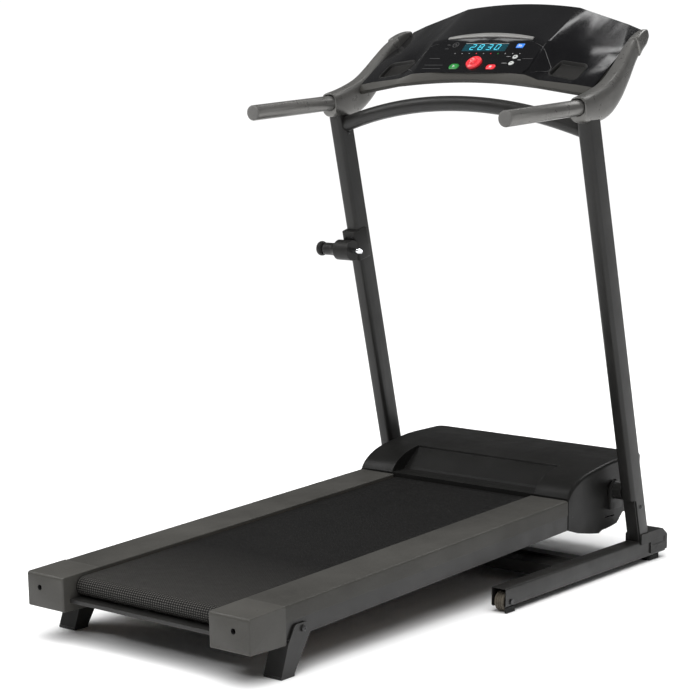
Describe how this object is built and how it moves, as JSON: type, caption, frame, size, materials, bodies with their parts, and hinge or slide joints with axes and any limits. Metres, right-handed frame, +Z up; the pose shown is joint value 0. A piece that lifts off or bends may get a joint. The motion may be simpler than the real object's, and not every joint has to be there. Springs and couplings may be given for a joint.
{
  "type": "treadmill",
  "caption": "Folding home treadmill: belt deck with motor hood hinged between two leaning uprights, arched crossbar, side handrails and a sloped console with key, display and trays.",
  "frame": {"origin": "on the floor, in the middle of the footprint box; the machine's own centre plane is x = +0.036, because the latch knob stands out on the left", "axes": "+Y from the walking end towards the console, +X to the runner's right, +Z up"},
  "size_m": [0.928, 1.6538, 1.503],
  "materials": {
    "powder_steel": "satin powder coat",
    "graphite_plastic": "fine moulded texture",
    "black_gloss": "polished",
    "silver_paint": "satin",
    "rubber_black": "matt",
    "belt_fabric": "fine woven cross texture",
    "chrome_pin": "polished",
    "roller_steel": "turned",
    "deck_wood": "waxed fibreboard",
    "board_green": "circuit board",
    "wheel_plastic": "worn",
    "display_glass": "tinted window",
    "red_button": "satin",
    "green_button": "satin",
    "blue_button": "satin",
    "cap_grey": "satin"
  },
  "bodies": {
    "frame": {"base_rail_left": "powder_steel", "base_rail_right": "powder_steel", "base_cross_tube": "powder_steel", "rear_foot_left": "rubber_black", "rear_foot_right": "rubber_black", "front_foot_left": "rubber_black", "front_foot_right": "rubber_black", "wheel_axle_left": "powder_steel", "wheel_axle_right": "powder_steel", "upright_left": "powder_steel", "upright_right": "powder_steel", "front_collar_left": "graphite_plastic", "front_collar_right": "graphite_plastic", "crossbar": "powder_steel", "handrail_left": "silver_paint", "handrail_right": "silver_paint", "handrail_cap_left": "cap_grey", "handrail_cap_right": "cap_grey", "console_arm_left": "silver_paint", "console_arm_right": "silver_paint", "console_face": "black_gloss", "console_shell": "graphite_plastic", "control_overlay": "black_gloss", "display_window": "display_glass", "console_board": "board_green", "latch_housing": "graphite_plastic"},
    "wheel_left": {"transport_wheel_left": "wheel_plastic"},
    "wheel_right": {"transport_wheel_right": "wheel_plastic"},
    "latch": {"latch_pin": "chrome_pin", "latch_knob": "graphite_plastic"},
    "start": {"start_button": "green_button"},
    "stop": {"stop_button": "red_button"},
    "speed_up": {"speed_up_button": "black_gloss"},
    "speed_down": {"speed_down_button": "black_gloss"},
    "workout": {"workout_button": "blue_button"},
    "key": {"safety_key": "red_button"},
    "deck": {"deck_rail_left": "powder_steel", "deck_rail_right": "powder_steel", "rear_crossmember": "powder_steel", "front_crossmember": "powder_steel", "deck_board": "deck_wood", "deck_cushion_left": "rubber_black", "deck_cushion_right": "rubber_black", "foot_rail_left": "graphite_plastic", "foot_rail_right": "graphite_plastic", "end_cap_left": "graphite_plastic", "end_cap_right": "graphite_plastic", "walking_belt": "belt_fabric", "motor_housing": "powder_steel", "drive_belt": "rubber_black", "motor_hood": "graphite_plastic", "belly_pan": "graphite_plastic", "motor_controller": "board_green", "pivot_bracket_left": "powder_steel", "pivot_bracket_right": "powder_steel"},
    "roller_rear": {"rear_roller": "roller_steel"},
    "roller_front": {"front_roller": "roller_steel"},
    "rotor": {"motor_rotor": "roller_steel"},
    "leg_left": {"incline_leg_left": "powder_steel"},
    "leg_right": {"incline_leg_right": "powder_steel"}
  },
  "joints": [
    {"name": "deck_fold", "type": "hinge", "parent": "frame", "child": "deck", "pos_m": [0.036, 0.67089, 0.199], "axis": [-1, 0, 0], "range_deg": [0, 75.8]},
    {"name": "latch_pull", "type": "slide", "parent": "frame", "child": "latch", "axis": [-1, 0, 0], "range_m": [0, 0.015], "stiffness_N_per_m": 600},
    {"name": "leg_left_swing", "type": "hinge", "parent": "deck", "child": "leg_left", "pos_m": [-0.289, -0.64411, 0.103], "axis": [1, 0, 0], "range_deg": [0, 80]},
    {"name": "leg_right_swing", "type": "hinge", "parent": "deck", "child": "leg_right", "pos_m": [0.361, -0.64411, 0.103], "axis": [1, 0, 0], "range_deg": [0, 80]},
    {"name": "wheel_left_spin", "type": "hinge", "parent": "frame", "child": "wheel_left", "pos_m": [-0.36665, 0.07189, 0.0262], "axis": [1, 0, 0], "continuous": true},
    {"name": "wheel_right_spin", "type": "hinge", "parent": "frame", "child": "wheel_right", "pos_m": [0.43865, 0.07189, 0.0262], "axis": [1, 0, 0], "continuous": true},
    {"name": "front_roller_spin", "type": "hinge", "parent": "deck", "child": "roller_front", "pos_m": [0.036, 0.59208, 0.18087], "axis": [1, 0, 0], "continuous": true},
    {"name": "rear_roller_spin", "type": "hinge", "parent": "deck", "child": "roller_rear", "pos_m": [0.036, -0.75901, 0.13133], "axis": [1, 0, 0], "continuous": true},
    {"name": "motor_spin", "type": "hinge", "parent": "deck", "child": "rotor", "pos_m": [0.036, 0.70057, 0.22388], "axis": [1, 0, 0], "continuous": true},
    {"name": "start_press", "type": "slide", "parent": "frame", "child": "start", "axis": [0, 0.6579, -0.7531], "range_m": [0, 0.0012], "stiffness_N_per_m": 500},
    {"name": "stop_press", "type": "slide", "parent": "frame", "child": "stop", "axis": [0, 0.6579, -0.7531], "range_m": [0, 0.0012], "stiffness_N_per_m": 500},
    {"name": "speed_up_press", "type": "slide", "parent": "frame", "child": "speed_up", "axis": [0, 0.6579, -0.7531], "range_m": [0, 0.0012], "stiffness_N_per_m": 500},
    {"name": "speed_down_press", "type": "slide", "parent": "frame", "child": "speed_down", "axis": [0, 0.6579, -0.7531], "range_m": [0, 0.0012], "stiffness_N_per_m": 500},
    {"name": "workout_press", "type": "slide", "parent": "frame", "child": "workout", "axis": [0, 0.6579, -0.7531], "range_m": [0, 0.0012], "stiffness_N_per_m": 500},
    {"name": "key_pull", "type": "slide", "parent": "frame", "child": "key", "axis": [0, -0.6579, 0.7531], "range_m": [0, 0.04]}
  ],
  "couplings": [
    {"joint": "rear_roller_spin", "follows": "front_roller_spin", "ratio": 1},
    {"joint": "motor_spin", "follows": "front_roller_spin", "ratio": 2.3333}
  ]
}
